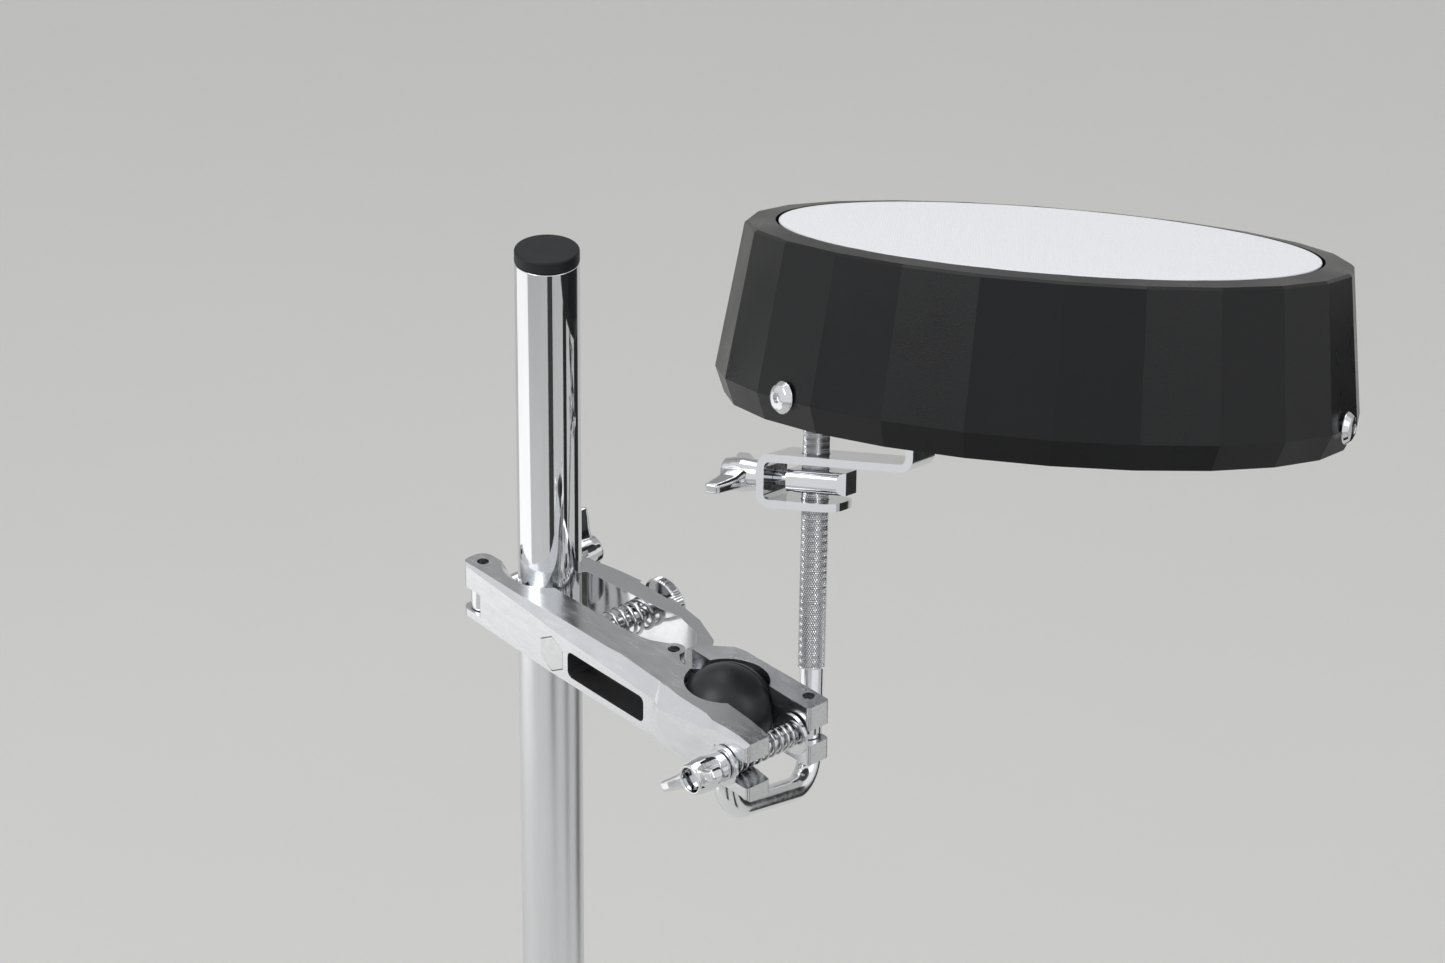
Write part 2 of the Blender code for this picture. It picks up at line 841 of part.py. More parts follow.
def strip_outline(path, thickness):
    """The outline of a strip bent along a path of (x, y, bend radius) corners."""
    line = [Vector(path[0][:2])]
    for i in range(1, len(path) - 1):
        line += corner_arc(Vector(path[i - 1][:2]), Vector(path[i][:2]), path[i + 1], path[i][2], 5)
    line.append(Vector(path[-1][:2]))
    sides = ([], [])
    for i, here in enumerate(line):
        before, after = line[max(i - 1, 0)], line[min(i + 1, len(line) - 1)]
        normal = (after - before).orthogonal().normalized() * (thickness / 2)
        sides[0].append(here + normal)
        sides[1].append(here - normal)
    return sides[0] + sides[1][::-1]


def flange_corner():
    """Where the leg meets the flange, whose upper face is under the board, in the bracket frame."""
    depth = BOARD_LOW - GAP - STRIP / 2
    x = PAD_REACH + depth * math.sin(PAD_DROOP)
    z = PAD_HEIGHT + depth * math.cos(PAD_DROOP)
    return Vector((LEG_X, z + (x - LEG_X) * math.tan(PAD_DROOP)))


def round_end(at, past):
    """A cutter that rounds both corners of a strip's end."""
    half = STRIP_WIDTH / 2
    wide = half + BEYOND
    back = at - 9
    return rounded(
        [
            (back, -wide),
            (past, -wide),
            (past, wide),
            (back, wide),
            (back, half),
            (at, half, 7.5),
            (at, -half, 7.5),
            (back, -half),
        ]
    )


def bracket(body):
    frame = bracket_frame()
    corner = flange_corner()
    flange = Vector((math.cos(PAD_DROOP), -math.sin(PAD_DROOP))) * FLANGE_LENGTH
    path = [
        (LOWER_ARM_END, LOWER_ARM_Z),
        (WEB_X, LOWER_ARM_Z, STRIP_BEND),
        (WEB_X, UPPER_ARM_Z, STRIP_BEND),
        (LEG_X, UPPER_ARM_Z, STRIP_BEND),
        (*corner, STRIP_BEND),
        tuple(corner + flange),
    ]
    side = frame @ Matrix.Rotation(math.radians(90), 4, "X")
    half = STRIP_WIDTH / 2
    strip = plate(side, strip_outline(path, STRIP), -half, half)
    screws = [
        cylinder(placed(pad_frame(), x, 0, BOARD_LOW), SCREW_SHANK + GAP, -8, 2) for x in BRACKET_SCREWS_X
    ]
    cut(
        strip,
        plate(frame, round_end(LOWER_ARM_END, 24), LOWER_ARM_Z - 5, LOWER_ARM_Z + 5),
        cylinder(frame, ROD_HOLE, LOWER_ARM_Z - 8, UPPER_ARM_Z + 8),
        cylinder(facing(frame.col[0][:3], *eye_point(), upright=frame.col[2][:3]), EYE_SHANK + GAP, -30, -5),
        *screws,
    )
    return piece(strip, "bracket", "chrome", body)


def eye_point():
    """The middle of the eye bolt, in the world."""
    return placed(bracket_frame(), z=EYE_Z).translation / MM


def eye_frame():
    """A frame in the eye bolt's middle, Z towards the wing nut, X up the rod."""
    frame = placed(bracket_frame(), z=EYE_Z)
    return frame @ Matrix.Rotation(math.radians(-90), 4, "Y")


def eye_bolt(body):
    place = eye_frame()
    tall, wide = EYE_HEIGHT / 2, EYE_WIDTH / 2
    section = rounded([(-tall, -wide, 3), (tall, -wide, 3), (tall, wide, 3), (-tall, wide, 3)])
    block = plate(place, section, -EYE_END, -EYE_START)
    end = WEB_X - STRIP / 2 - WASHER_THICKNESS - WING_HUB_LENGTH + 3
    join(block, cylinder(place, EYE_SHANK, -EYE_START - 2, -end))
    corner = [(-EYE_END - 1, wide + 1), (-EYE_END - 1, wide - 4), (-EYE_END + 4, wide + 1)]
    across = place @ Matrix.Rotation(math.radians(90), 4, "Y")
    chamfers = [
        plate(across, [Vector((-x, side * y)) for x, y in corner], -tall - 2, tall + 2) for side in (1, -1)
    ]
    cut(block, cylinder(bracket_frame(), ROD_HOLE, EYE_Z - 8, EYE_Z + 8), *chamfers)
    return piece(block, "eye_bolt", "chrome", body)


# Pad


def pad_shell(body):
    inner_drop = 4.5
    profile = [
        (MOUTH_OF_SHELL - 2, 0.2),
        (RIM_RADIUS - 1.2, -RIM_DROP + 0.4),
        (RIM_RADIUS, -RIM_DROP - 0.6),
        (WAIST_RADIUS, WAIST_Z),
        (FOOT_RADIUS, -SHELL_DEPTH),
        (FOOT_RADIUS - SHELL_WALL, -SHELL_DEPTH),
        (WAIST_RADIUS - SHELL_WALL - 0.4, WAIST_Z),
        (RIM_RADIUS - SHELL_WALL, -RIM_DROP - inner_drop),
        (MOUTH_OF_SHELL - 2, -inner_drop),
    ]
    facet_turn = Matrix.Rotation(math.pi / FACETS, 4, "Z")
    shell = turned(pad_frame() @ facet_turn, profile, FACETS)
    holes = [
        cylinder(radial(azimuth), SCREW_SHANK + GAP, BOARD_RADIUS - 2, WAIST_RADIUS + BEYOND, 16)
        for azimuth in SCREW_AZIMUTHS
    ]
    cut(shell, cylinder(pad_frame(), MOUTH_OF_SHELL, -12, BEYOND, 72), *holes)
    piece(shell, "pad_shell", "shell_plastic", body)
    shell.data.shade_flat()
    return shell


def radial(azimuth):
    """A frame on the pad's axis at the height of the shell screws, Z pointing outwards."""
    turn = Matrix.Rotation(math.radians(azimuth), 4, "Z") @ Matrix.Rotation(math.radians(90), 4, "Y")
    return placed(pad_frame(), z=SCREW_Z) @ turn


def disc(name, radius, low, high, finish, body, edge=0.0):
    profile = [(0, high), (radius - edge, high), (radius, high - edge), (radius, low), (0, low)]
    if not edge:
        del profile[2]
    return piece(turned(pad_frame(), profile, 72), name, finish, body)


def pad_layers(body):
    """The playing sheet, and under it the rubber and the foam that rest on the board."""
    rubber_top = -SHEET_THICKNESS - GAP
    rubber_low = rubber_top - RUBBER_THICKNESS
    disc("playing_sheet", SHEET_RADIUS, -SHEET_THICKNESS, 0, "sheet_fabric", body, 0.5)
    disc("rubber_pad", SHEET_RADIUS, rubber_low, rubber_top, "rubber", body)
    disc("foam_core", SHEET_RADIUS, BOARD_TOP + GAP, rubber_low - GAP, "foam", body)


def base_board(body):
    board = cylinder(pad_frame(), BOARD_RADIUS, BOARD_LOW, BOARD_TOP, 72)
    sides = [
        cylinder(radial(a), SCREW_SHANK + GAP, BOARD_RADIUS - SCREW_LENGTH, BOARD_RADIUS + 4, 16)
        for a in SCREW_AZIMUTHS
    ]
    below = [
        cylinder(placed(pad_frame(), x, 0, BOARD_LOW), SCREW_SHANK + GAP, -4, BOARD_TOP - BOARD_LOW - 1.5, 16)
        for x in BRACKET_SCREWS_X
    ]
    cut(board, *sides, *below)
    return piece(board, "base_board", "board", body)


def button_screw(name, place, length, body):
    """A button-head screw. The head's underside is at Z 0 and the head stands on +Z."""
    radius, height = 6.25, 3.3
    profile = [
        (0, height),
        (2.8, height),
        (4.8, height * 0.75),
        (radius, 0.6),
        (radius, 0),
        (SCREW_SHANK, 0),
        (SCREW_SHANK, -length),
        (0, -length),
    ]
    screw = turned(place, profile, 20)
    cut(screw, plate(place, hexagon(3.4), height - 2, height + 2))
    return piece(screw, name, "chrome", body)


def screws(body):
    under_head = WAIST_RADIUS * math.cos(math.pi / FACETS) + GAP
    shank = under_head - (BOARD_RADIUS - SCREW_LENGTH + 1)
    for number, azimuth in enumerate(SCREW_AZIMUTHS, 1):
        button_screw(f"shell_screw_{number}", placed(radial(azimuth), z=under_head), shank, body)
    flipped = Matrix.Rotation(math.pi, 4, "X")
    under_flange = BOARD_LOW - 2 * GAP - STRIP
    for number, x in enumerate(BRACKET_SCREWS_X, 1):
        place = placed(pad_frame(), x, 0, under_flange) @ flipped
        button_screw(f"bracket_screw_{number}", place, 9.5, body)


# Assembly


def tube_side(root_frame):
    opening = joint_frame("tube_jaw", (*HINGE, ADJUSTER_Z), root_frame)
    tube_jaw(opening)
    knob = joint_frame("knurled_nut", (ADJUSTER_X, KNOB_Y, ADJUSTER_Z), root_frame)
    knurled_nut(knob)
    swing = joint_frame("tube_swing_bolt", (*TUBE_PIN, TUBE_BOLT_Z), root_frame)
    length = TUBE_WASHER_Y + WASHER_THICKNESS + WING_HUB_LENGTH - 3 - TUBE_PIN[1]
    swing_bolt("tube_swing_bolt", TUBE_PIN, TUBE_BOLT_Z, True, 9.2, 0, length, swing)
    seat = along_y(TUBE_PIN[0], TUBE_WASHER_Y, TUBE_BOLT_Z)
    washer("tube_washer", seat, 8, SHANK_RADIUS + GAP, swing)
    nut = joint_frame("tube_wing_nut", (TUBE_PIN[0], TUBE_WASHER_Y, TUBE_BOLT_Z), swing)
    place = placed(seat, z=WASHER_THICKNESS + GAP) @ Matrix.Rotation(math.radians(55), 4, "Z")
    wing_nut("tube_wing_nut", place, SHANK_RADIUS + GAP, nut)


def ball_side(root_frame):
    opening = joint_frame("ball_jaw", (*HINGE, BALL_BOLT_Z), root_frame)
    ball_jaw(opening)
    clamp_pin("jaw_pin", JAW_PIN, opening)
    swing = joint_frame("ball_swing_bolt", (*JAW_PIN, BALL_BOLT_Z), opening)
    nut_y = FRONT_AT_BALL - 2 * GAP - WASHER_THICKNESS
    length = JAW_PIN[1] - nut_y + WING_HUB_LENGTH - 3
    neck = JAW_PIN[1] - JAW_FACE_Y + 0.6
    swing_bolt("ball_swing_bolt", JAW_PIN, BALL_BOLT_Z, False, 2 * JAW_SLOT - 2 * GAP, neck, length, swing)
    ball_spring(swing)
    washer("spring_washer", along_y(JAW_PIN[0], 0.9, BALL_BOLT_Z), 8.5, SHANK_RADIUS + 0.7, swing)
    front = facing((0, -1, 0), JAW_PIN[0], FRONT_AT_BALL - GAP, BALL_BOLT_Z)
    washer("front_washer", front, 8, SHANK_RADIUS + 1.0)
    nut = joint_frame("ball_wing_nut", (JAW_PIN[0], nut_y, BALL_BOLT_Z), root_frame)
    place = placed(front, z=WASHER_THICKNESS + GAP) @ Matrix.Rotation(math.radians(26), 4, "Z")
    wing_nut("ball_wing_nut", place, SHANK_RADIUS + 0.6, nut)


def pad_side(root_frame):
    lean = rod_frame().to_3x3()
    tilt = joint_frame("ball", BALL_CENTRE, root_frame)
    ball(tilt)
    spin = joint_frame("bent_rod", BALL_CENTRE, tilt, lean)
    bent_rod(spin)
    swing = joint_frame("bracket", bracket_frame().translation / MM, spin, bracket_frame().to_3x3())
    bracket(swing)
    eye_bolt(swing)
    seat = placed(eye_frame(), z=STRIP / 2 + GAP - WEB_X)
    washer("bracket_washer", seat, 6.2, EYE_SHANK + GAP, swing)
    nut = joint_frame("bracket_wing_nut", seat.translation / MM, swing, eye_frame().to_3x3())
    place = placed(seat, z=WASHER_THICKNESS + GAP) @ Matrix.Rotation(math.radians(68), 4, "Z")
    wing_nut("bracket_wing_nut", place, EYE_SHANK + GAP, nut)
    pad_shell(swing)
    pad_layers(swing)
    base_board(swing)
    screws(swing)


def main():
    clear_scene()
    new_collection("practice_pad")
    new_collection("cutters")
    stand_tube()
    tube_cap()
    clamp_body()
    clamp_pin("hinge_pin", HINGE)
    clamp_pin("tube_bolt_pin", TUBE_PIN)
    adjuster_bolt()
    jaw_spring()
    root_frame = joint_frame("root", (0, 0, 0))
    tube_side(root_frame)
    ball_side(root_frame)
    pad_side(root_frame)


main()
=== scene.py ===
"""Looks for the drum practice pad on its clamp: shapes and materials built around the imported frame."""

import json
import math

import bmesh
import bpy
from mathutils import Matrix, Vector


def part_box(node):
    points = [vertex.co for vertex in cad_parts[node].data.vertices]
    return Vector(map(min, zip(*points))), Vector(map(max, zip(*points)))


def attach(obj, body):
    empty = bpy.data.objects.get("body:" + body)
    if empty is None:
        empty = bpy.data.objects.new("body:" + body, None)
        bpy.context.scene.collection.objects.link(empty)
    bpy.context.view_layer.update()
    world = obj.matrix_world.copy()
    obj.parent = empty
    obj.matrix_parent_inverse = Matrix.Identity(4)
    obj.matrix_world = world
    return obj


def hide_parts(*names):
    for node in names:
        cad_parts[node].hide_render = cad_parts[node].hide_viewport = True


MM = 0.001
GAP = 0.3 * MM  # part.py's clearance between neighbouring pieces
WELD = 2e-6  # metres
FLAT_WITHIN = 1.5  # degrees between triangles that are one flat face

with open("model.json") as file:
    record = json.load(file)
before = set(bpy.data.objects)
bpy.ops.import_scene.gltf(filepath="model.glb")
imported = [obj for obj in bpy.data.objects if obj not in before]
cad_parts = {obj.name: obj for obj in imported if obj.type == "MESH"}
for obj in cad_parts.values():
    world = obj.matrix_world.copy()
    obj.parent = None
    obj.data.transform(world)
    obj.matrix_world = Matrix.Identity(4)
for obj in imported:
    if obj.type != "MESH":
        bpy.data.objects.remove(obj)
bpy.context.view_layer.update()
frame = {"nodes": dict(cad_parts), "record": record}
JOINTS = {joint["name"]: joint for joint in frame["record"]["behaviour"]["joints"]}
MOUNTS = {mount["name"]: mount for mount in frame["record"]["mounts"]}
BODY_OF = {
    node: body for body, nodes in frame["record"]["behaviour"]["bodies"].items() for node in nodes
}


# The photo's view

VIEW_AZIMUTH = math.radians(48.4)
VIEW_PITCH = math.radians(28.9)
VIEW_ROLL = math.radians(0.48)
VIEW_POINT = Vector((1.434, -1.182, 1.278))
LENS = 134.5

# Places, read from the frame


def joint_at(name):
    return Vector(JOINTS[name]["pos_m"])


def joint_axis(name):
    return Vector(JOINTS[name]["axis"]).normalized()


def middle(node):
    low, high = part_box(node)
    return (Vector(low) + Vector(high)) / 2


def size(node):
    low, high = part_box(node)
    return Vector(high) - Vector(low)


def axes(origin, z_axis, near_x):
    """A frame at origin whose Z is z_axis and whose X is as near near_x as it can be."""
    z = Vector(z_axis).normalized()
    x = Vector(near_x) - z * Vector(near_x).dot(z)
    x.normalize()
    turned_to = Matrix((x, z.cross(x), z)).transposed()
    return Matrix.Translation(origin) @ turned_to.to_4x4()


def pad_frame():
    """The centre of the playing surface: X away from the rod, Z the surface's normal."""
    mount = MOUNTS["playing_surface"]
    place = axes(Vector(mount["pos_m"]), Vector(mount["axis"]), joint_axis("bracket_wing_nut_spin"))
    points = [place.inverted() @ v.co for v in frame["nodes"]["playing_sheet"].data.vertices]
    centre = [(min(p[i] for p in points) + max(p[i] for p in points)) / 2 for i in (0, 1)]
    return place @ Matrix.Translation((*centre, 0))


PAD = pad_frame()


# Materials


def new_material(name, colour, roughness, metallic=0.0):
    made = bpy.data.materials.new(name)
    made.use_nodes = True
    shader = made.node_tree.nodes["Principled BSDF"]
    shader.inputs["Base Color"].default_value = (*colour, 1)
    shader.inputs["Roughness"].default_value = roughness
    shader.inputs["Metallic"].default_value = metallic
    return made, made.node_tree, shader


def coordinates(tree, scale=(1, 1, 1)):
    """Object coordinates, stretched by scale."""
    where = tree.nodes.new("ShaderNodeTexCoord")
    mapping = tree.nodes.new("ShaderNodeMapping")
    mapping.inputs["Scale"].default_value = scale
    tree.links.new(where.outputs["Object"], mapping.inputs["Vector"])
    return mapping.outputs["Vector"]


def noise(tree, scale, detail=3.0, stretch=(1, 1, 1), roughness=0.55):
    texture = tree.nodes.new("ShaderNodeTexNoise")
    texture.inputs["Scale"].default_value = scale
    texture.inputs["Detail"].default_value = detail
    texture.inputs["Roughness"].default_value = roughness
    tree.links.new(coordinates(tree, stretch), texture.inputs["Vector"])
    return texture.outputs["Fac"]


def spread(tree, value, low, high, out_low, out_high):
    """Maps low..high of a value to out_low..out_high."""
    ranged = tree.nodes.new("ShaderNodeMapRange")
    for socket, number in zip(ranged.inputs[1:5], (low, high, out_low, out_high)):
        socket.default_value = number
    tree.links.new(value, ranged.inputs[0])
    return ranged.outputs[0]


def mixed(tree, factor, first, second):
    """A colour from first to second."""
    ramp = tree.nodes.new("ShaderNodeValToRGB")
    ramp.color_ramp.elements[0].color = (*first, 1)
    ramp.color_ramp.elements[1].color = (*second, 1)
    tree.links.new(factor, ramp.inputs["Fac"])
    return ramp.outputs["Color"]


def added(tree, first, second, operation="ADD"):
    sum_node = tree.nodes.new("ShaderNodeMath")
    sum_node.operation = operation
    tree.links.new(first, sum_node.inputs[0])
    tree.links.new(second, sum_node.inputs[1])
    return sum_node.outputs[0]


def bump(tree, shader, height, distance, strength=1.0):
    node = tree.nodes.new("ShaderNodeBump")
    node.inputs["Distance"].default_value = distance
    node.inputs["Strength"].default_value = strength
    tree.links.new(height, node.inputs["Height"])
    tree.links.new(node.outputs["Normal"], shader.inputs["Normal"])


def edge_wear(tree, amount):
    """How sharply the surface turns, as 0 to amount, from its pointiness."""
    shape = tree.nodes.new("ShaderNodeNewGeometry")
    return spread(tree, shape.outputs["Pointiness"], 0.52, 0.60, 0.0, amount)


def metal(name, colour, roughness, streak, grain, stretch=(1, 1, 1), shade=0.85):
    """Plated or cast metal: streaked roughness, slightly uneven colour and a fine grain."""
    made, tree, shader = new_material(name, colour, roughness, 1.0)
    streaks = noise(tree, 420, 4, stretch)
    stains = noise(tree, 35, 4)
    rough = added(
        tree,
        spread(tree, streaks, 0.3, 0.7, roughness - streak, roughness + streak),
        spread(tree, stains, 0.35, 0.7, 0, streak),
    )
    tree.links.new(rough, shader.inputs["Roughness"])
    darker = tuple(c * shade for c in colour)
    tree.links.new(mixed(tree, stains, darker, colour), shader.inputs["Base Color"])
    bump(tree, shader, noise(tree, 1500, 3, stretch), grain)
    return made


def plastic(name, colour, roughness, grain, scale, lighter=1.7):
    """Moulded plastic: an even grain, a slow change of gloss, and paler edges."""
    made, tree, shader = new_material(name, colour, roughness)
    slow = noise(tree, 22, 4)
    rough = spread(tree, slow, 0.3, 0.7, roughness - 0.05, roughness + 0.07)
    tree.links.new(rough, shader.inputs["Roughness"])
    paler = tuple(c * lighter + 0.002 for c in colour)
    worn = added(tree, slow, edge_wear(tree, 0.4))
    tree.links.new(mixed(tree, worn, colour, paler), shader.inputs["Base Color"])
    bump(tree, shader, noise(tree, scale, 4), grain)
    return made


def tube_material():
    """Mirror chrome that turns satin below the clamp."""
    colour = (0.80, 0.81, 0.83)
    made, tree, shader = new_material("tube_chrome_plate", colour, 0.05, 1.0)
    where = tree.nodes.new("ShaderNodeTexCoord")
    split = tree.nodes.new("ShaderNodeSeparateXYZ")
    tree.links.new(where.outputs["Object"], split.inputs[0])
    clamp_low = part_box("clamp_body")[0][2]
    lower = spread(tree, split.outputs["Z"], clamp_low - 0.002, clamp_low + 0.012, 0.26, 0.0)
    marks = noise(tree, 300, 4, (1, 1, 0.08))
    rough = added(tree, lower, spread(tree, marks, 0.3, 0.7, 0.035, 0.075))
    tree.links.new(rough, shader.inputs["Roughness"])
    shade = mixed(tree, marks, (0.74, 0.75, 0.77), (0.84, 0.85, 0.87))
    tree.links.new(shade, shader.inputs["Base Color"])
    bump(tree, shader, noise(tree, 900, 3), 0.000004)
    return made


def sheet_material():
    """The white playing surface: a fine coated weave with flecks and a little sheen."""
    made, tree, shader = new_material("playing_cloth", (0.88, 0.89, 0.91), 0.78)
    heights = []
    for turn in (45, 135):
        wave = tree.nodes.new("ShaderNodeTexWave")
        wave.inputs["Scale"].default_value = 320
        wave.inputs["Distortion"].default_value = 1.2
        wave.inputs["Detail"].default_value = 1.0
        where = tree.nodes.new("ShaderNodeTexCoord")
        mapping = tree.nodes.new("ShaderNodeMapping")
        mapping.inputs["Rotation"].default_value = (0, 0, math.radians(turn))
        tree.links.new(where.outputs["Object"], mapping.inputs["Vector"])
        tree.links.new(mapping.outputs["Vector"], wave.inputs["Vector"])
        heights.append(wave.outputs["Fac"])
    weave = added(tree, *heights, "MULTIPLY")
    fleck = noise(tree, 1400, 5, roughness=0.7)
    height = added(tree, weave, fleck)
    bump(tree, shader, height, 0.00012, 0.8)
    flecks = spread(tree, fleck, 0.35, 0.65, 0.0, 1.0)
    pale = mixed(tree, flecks, (0.66, 0.67, 0.705), (0.78, 0.785, 0.81))
    tree.links.new(pale, shader.inputs["Base Color"])
    tree.links.new(spread(tree, weave, 0, 1, 0.86, 0.7), shader.inputs["Roughness"])
    shader.inputs["Sheen Weight"].default_value = 0.25
    shader.inputs["Sheen Roughness"].default_value = 0.5
    return made


def foam_material(name, colour, scale):
    """Cells of foam or rubber crumb."""
    made, tree, shader = new_material(name, colour, 0.9)
    cells = tree.nodes.new("ShaderNodeTexVoronoi")
    cells.inputs["Scale"].default_value = scale
    tree.links.new(coordinates(tree), cells.inputs["Vector"])
    bump(tree, shader, cells.outputs["Distance"], 0.0004)
    lighter = tuple(c * 1.6 for c in colour)
    tree.links.new(mixed(tree, cells.outputs["Distance"], colour, lighter), shader.inputs["Base Color"])
    return made


def knurled_chrome_with_painted_shade():
    """Chrome with painted shade: the knurl's valleys are painted dark where shade falls in them, as the
    piece's valley attribute says.
    """
    made, tree, shader = new_material("knurled_chrome_painted_valley_shade", (0.8, 0.81, 0.83), 0.16, 1.0)
    depth = tree.nodes.new("ShaderNodeAttribute")
    depth.attribute_name = "valley"
    # Painted shade: chrome colour on the knurl's ridges, near black in its valleys.
    shade = mixed(tree, depth.outputs["Fac"], (0.84, 0.85, 0.87), (0.16, 0.16, 0.17))
    tree.links.new(shade, shader.inputs["Base Color"])
    marks = noise(tree, 420, 4)
    tree.links.new(spread(tree, marks, 0.3, 0.7, 0.10, 0.2), shader.inputs["Roughness"])
    return made


KNURLED_PAINTED_SHADE = knurled_chrome_with_painted_shade()
CHROME = metal("bright_chrome", (0.80, 0.81, 0.83), 0.075, 0.03, 0.000004)
CAST = metal("polished_casting", (0.74, 0.75, 0.77), 0.21, 0.06, 0.000016, (0.25, 1, 1), 0.9)
# Painted shade: this dark, rougher metal is put in the clamp's pockets to stand in for the shade inside
# them.
POCKET_PAINTED_SHADE = metal("pocket_painted_shade", (0.20, 0.20, 0.205), 0.42, 0.08, 0.00004)
PIN = metal("blackened_pin", (0.06, 0.06, 0.065), 0.35, 0.06, 0.00001)
SPRING = metal("spring_wire", (0.66, 0.67, 0.68), 0.16, 0.04, 0.000005)
TUBE = tube_material()
CAP = plastic("cap_plastic", (0.010, 0.0105, 0.0125), 0.48, 0.00006, 1700)
BALL = plastic("ball_nylon", (0.014, 0.015, 0.017), 0.34, 0.00003, 1300)
SHELL = plastic("shell_plastic", (0.0035, 0.0037, 0.0045), 0.30, 0.000035, 1500, 1.3)
for black, level in ((SHELL, 0.26), (CAP, 0.25), (BALL, 0.32)):
    black.node_tree.nodes["Principled BSDF"].inputs["Specular IOR Level"].default_value = level
CLOTH = sheet_material()
RUBBER = foam_material("rubber_layer", (0.020, 0.020, 0.022), 1500)
FOAM = foam_material("foam_layer", (0.09, 0.09, 0.10), 900)
BOARD = plastic("painted_board", (0.030, 0.030, 0.033), 0.6, 0.00008, 500)


# Shape helpers


def show(obj, material, name, *nodes):
    """Finishes a piece: its name, its finish, the body it rides on and the nodes it stands for."""
    obj.name = name
    obj.data.transform(obj.matrix_world)
    obj.matrix_world = Matrix.Identity(4)
    obj.data.materials.clear()
    obj.data.materials.append(material)
    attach(obj, BODY_OF[nodes[0]])
    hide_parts(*nodes)
    return obj


def link(mesh, place=None):
    obj = bpy.data.objects.new("piece", mesh)
    bpy.context.scene.collection.objects.link(obj)
    if place:
        obj.matrix_world = place
    return obj


def smooth(obj, angle=35):
    obj.data.shade_smooth()
    obj.data.set_sharp_from_angle(angle=math.radians(angle))
    return obj


def clean_copy(node):
    """A copy of a node's mesh with its flat faces whole again."""
    mesh = frame["nodes"][node].data.copy()
    shape = bmesh.new()
    shape.from_mesh(mesh)
    bmesh.ops.remove_doubles(shape, verts=shape.verts, dist=WELD)
    bmesh.ops.dissolve_limit(
        shape,
        angle_limit=math.radians(FLAT_WITHIN),
        verts=shape.verts,
        edges=shape.edges,
        use_dissolve_boundaries=False,
    )
    shape.to_mesh(mesh)
    shape.free()
    return link(mesh)


def apply_modifiers(obj):
    bpy.context.view_layer.update()
    graph = bpy.context.evaluated_depsgraph_get()
    mesh = bpy.data.meshes.new_from_object(obj.evaluated_get(graph))
    obj.modifiers.clear()
    obj.data = mesh
    return obj


def eased(node, material, radius, segments=3, angle=28):
    """The node with its edges rounded, as on a casting or a machined part."""
    obj = clean_copy(node)
    smooth(obj, angle)
    ease = obj.modifiers.new("ease", "BEVEL")
    ease.width = radius
    ease.segments = segments
    ease.limit_method = "ANGLE"
    ease.angle_limit = math.radians(angle)
    ease.harden_normals = True
    ease.use_clamp_overlap = True
    flatter = obj.modifiers.new("flatter", "WEIGHTED_NORMAL")
    flatter.keep_sharp = True
    flatter.weight = 100
    apply_modifiers(obj)
    return show(obj, material, node + "_eased", node)


def paint_shade_inside(obj, low, high):
    """Gives the faces within a box the object's second material, which here is a painted shade."""
    for face in obj.data.polygons:
        if all(a < c < b for a, c, b in zip(low, face.center, high)):
            face.material_index = 1


def lathe(place, profile, steps=128):
    """A closed profile of (radius, height) points, turned about the frame's Z."""
    shape = bmesh.new()
    rows = []
    for r, z in profile:
        if r < 1e-7:
            rows.append([shape.verts.new((0, 0, z))])
            continue
        turns = [2 * math.pi * k / steps for k in range(steps)]
        rows.append([shape.verts.new((r * math.cos(a), r * math.sin(a), z)) for a in turns])
    pairs = list(zip(rows, rows[1:]))
    if len(rows[0]) > 1:
        pairs.append((rows[-1], rows[0]))
    for row, after in pairs:
        for i in range(steps):
            j = (i + 1) % steps
            near = [row[i % len(row)], row[j % len(row)]]
            far = [after[j % len(after)], after[i % len(after)]]
            shape.faces.new(list(dict.fromkeys(near + far)))
    bmesh.ops.recalc_face_normals(shape, faces=shape.faces)
    mesh = bpy.data.meshes.new("turned")
    shape.to_mesh(mesh)
    shape.free()
    return smooth(link(mesh, place))


def rounding(r, z, radius, start, end, steps=6):
    """Points of an arc in a profile, from start to end degrees."""
    turns = [math.radians(start + (end - start) * k / steps) for k in range(steps + 1)]
    return [(r + radius * math.cos(a), z + radius * math.sin(a)) for a in turns]


def swept(points, radii, steps, pattern=None):
    """A bar through points, with the radius of each ring, which pattern changes round the bar."""
    points = [Vector(p) for p in points]
    directions = [
        (points[min(i + 1, len(points) - 1)] - points[max(i - 1, 0)]).normalized()
        for i in range(len(points))
    ]
    across = directions[0].orthogonal().normalized()
    shape = bmesh.new()
    rows = []
    for i, (point, direction) in enumerate(zip(points, directions)):
        across = (across - direction * across.dot(direction)).normalized()
        over = direction.cross(across)
        row = []
        for k in range(steps):
            a = 2 * math.pi * k / steps
            r = radii[i] + (pattern(i, a) if pattern else 0.0)
            row.append(shape.verts.new(point + across * (r * math.cos(a)) + over * (r * math.sin(a))))
        rows.append(row)
    for row, after in zip(rows, rows[1:]):
        for k in range(steps):
            j = (k + 1) % steps
            shape.faces.new((row[k], row[j], after[j], after[k]))
    shape.faces.new(rows[0])
    shape.faces.new(rows[-1])
    bmesh.ops.recalc_face_normals(shape, faces=shape.faces)
    mesh = bpy.data.meshes.new("bar")
    shape.to_mesh(mesh)
    shape.free()
    return smooth(link(mesh))


# Stand tube and cap


def stand_tube():
    low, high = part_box("stand_tube")
    radius = size("stand_tube").x / 2
    wall, edge = 1.5 * MM, 0.35 * MM
    inner = radius - wall
    profile = [
        *rounding(radius - edge, high[2] - edge, edge, 90, 0, 3),
        *rounding(radius - edge, low[2] + edge, edge, 0, -90, 3),
        (inner, low[2]),
        (inner, high[2]),
    ]
    show(lathe(Matrix.Identity(4), profile, 160), TUBE, "stand_tube_plated", "stand_tube")


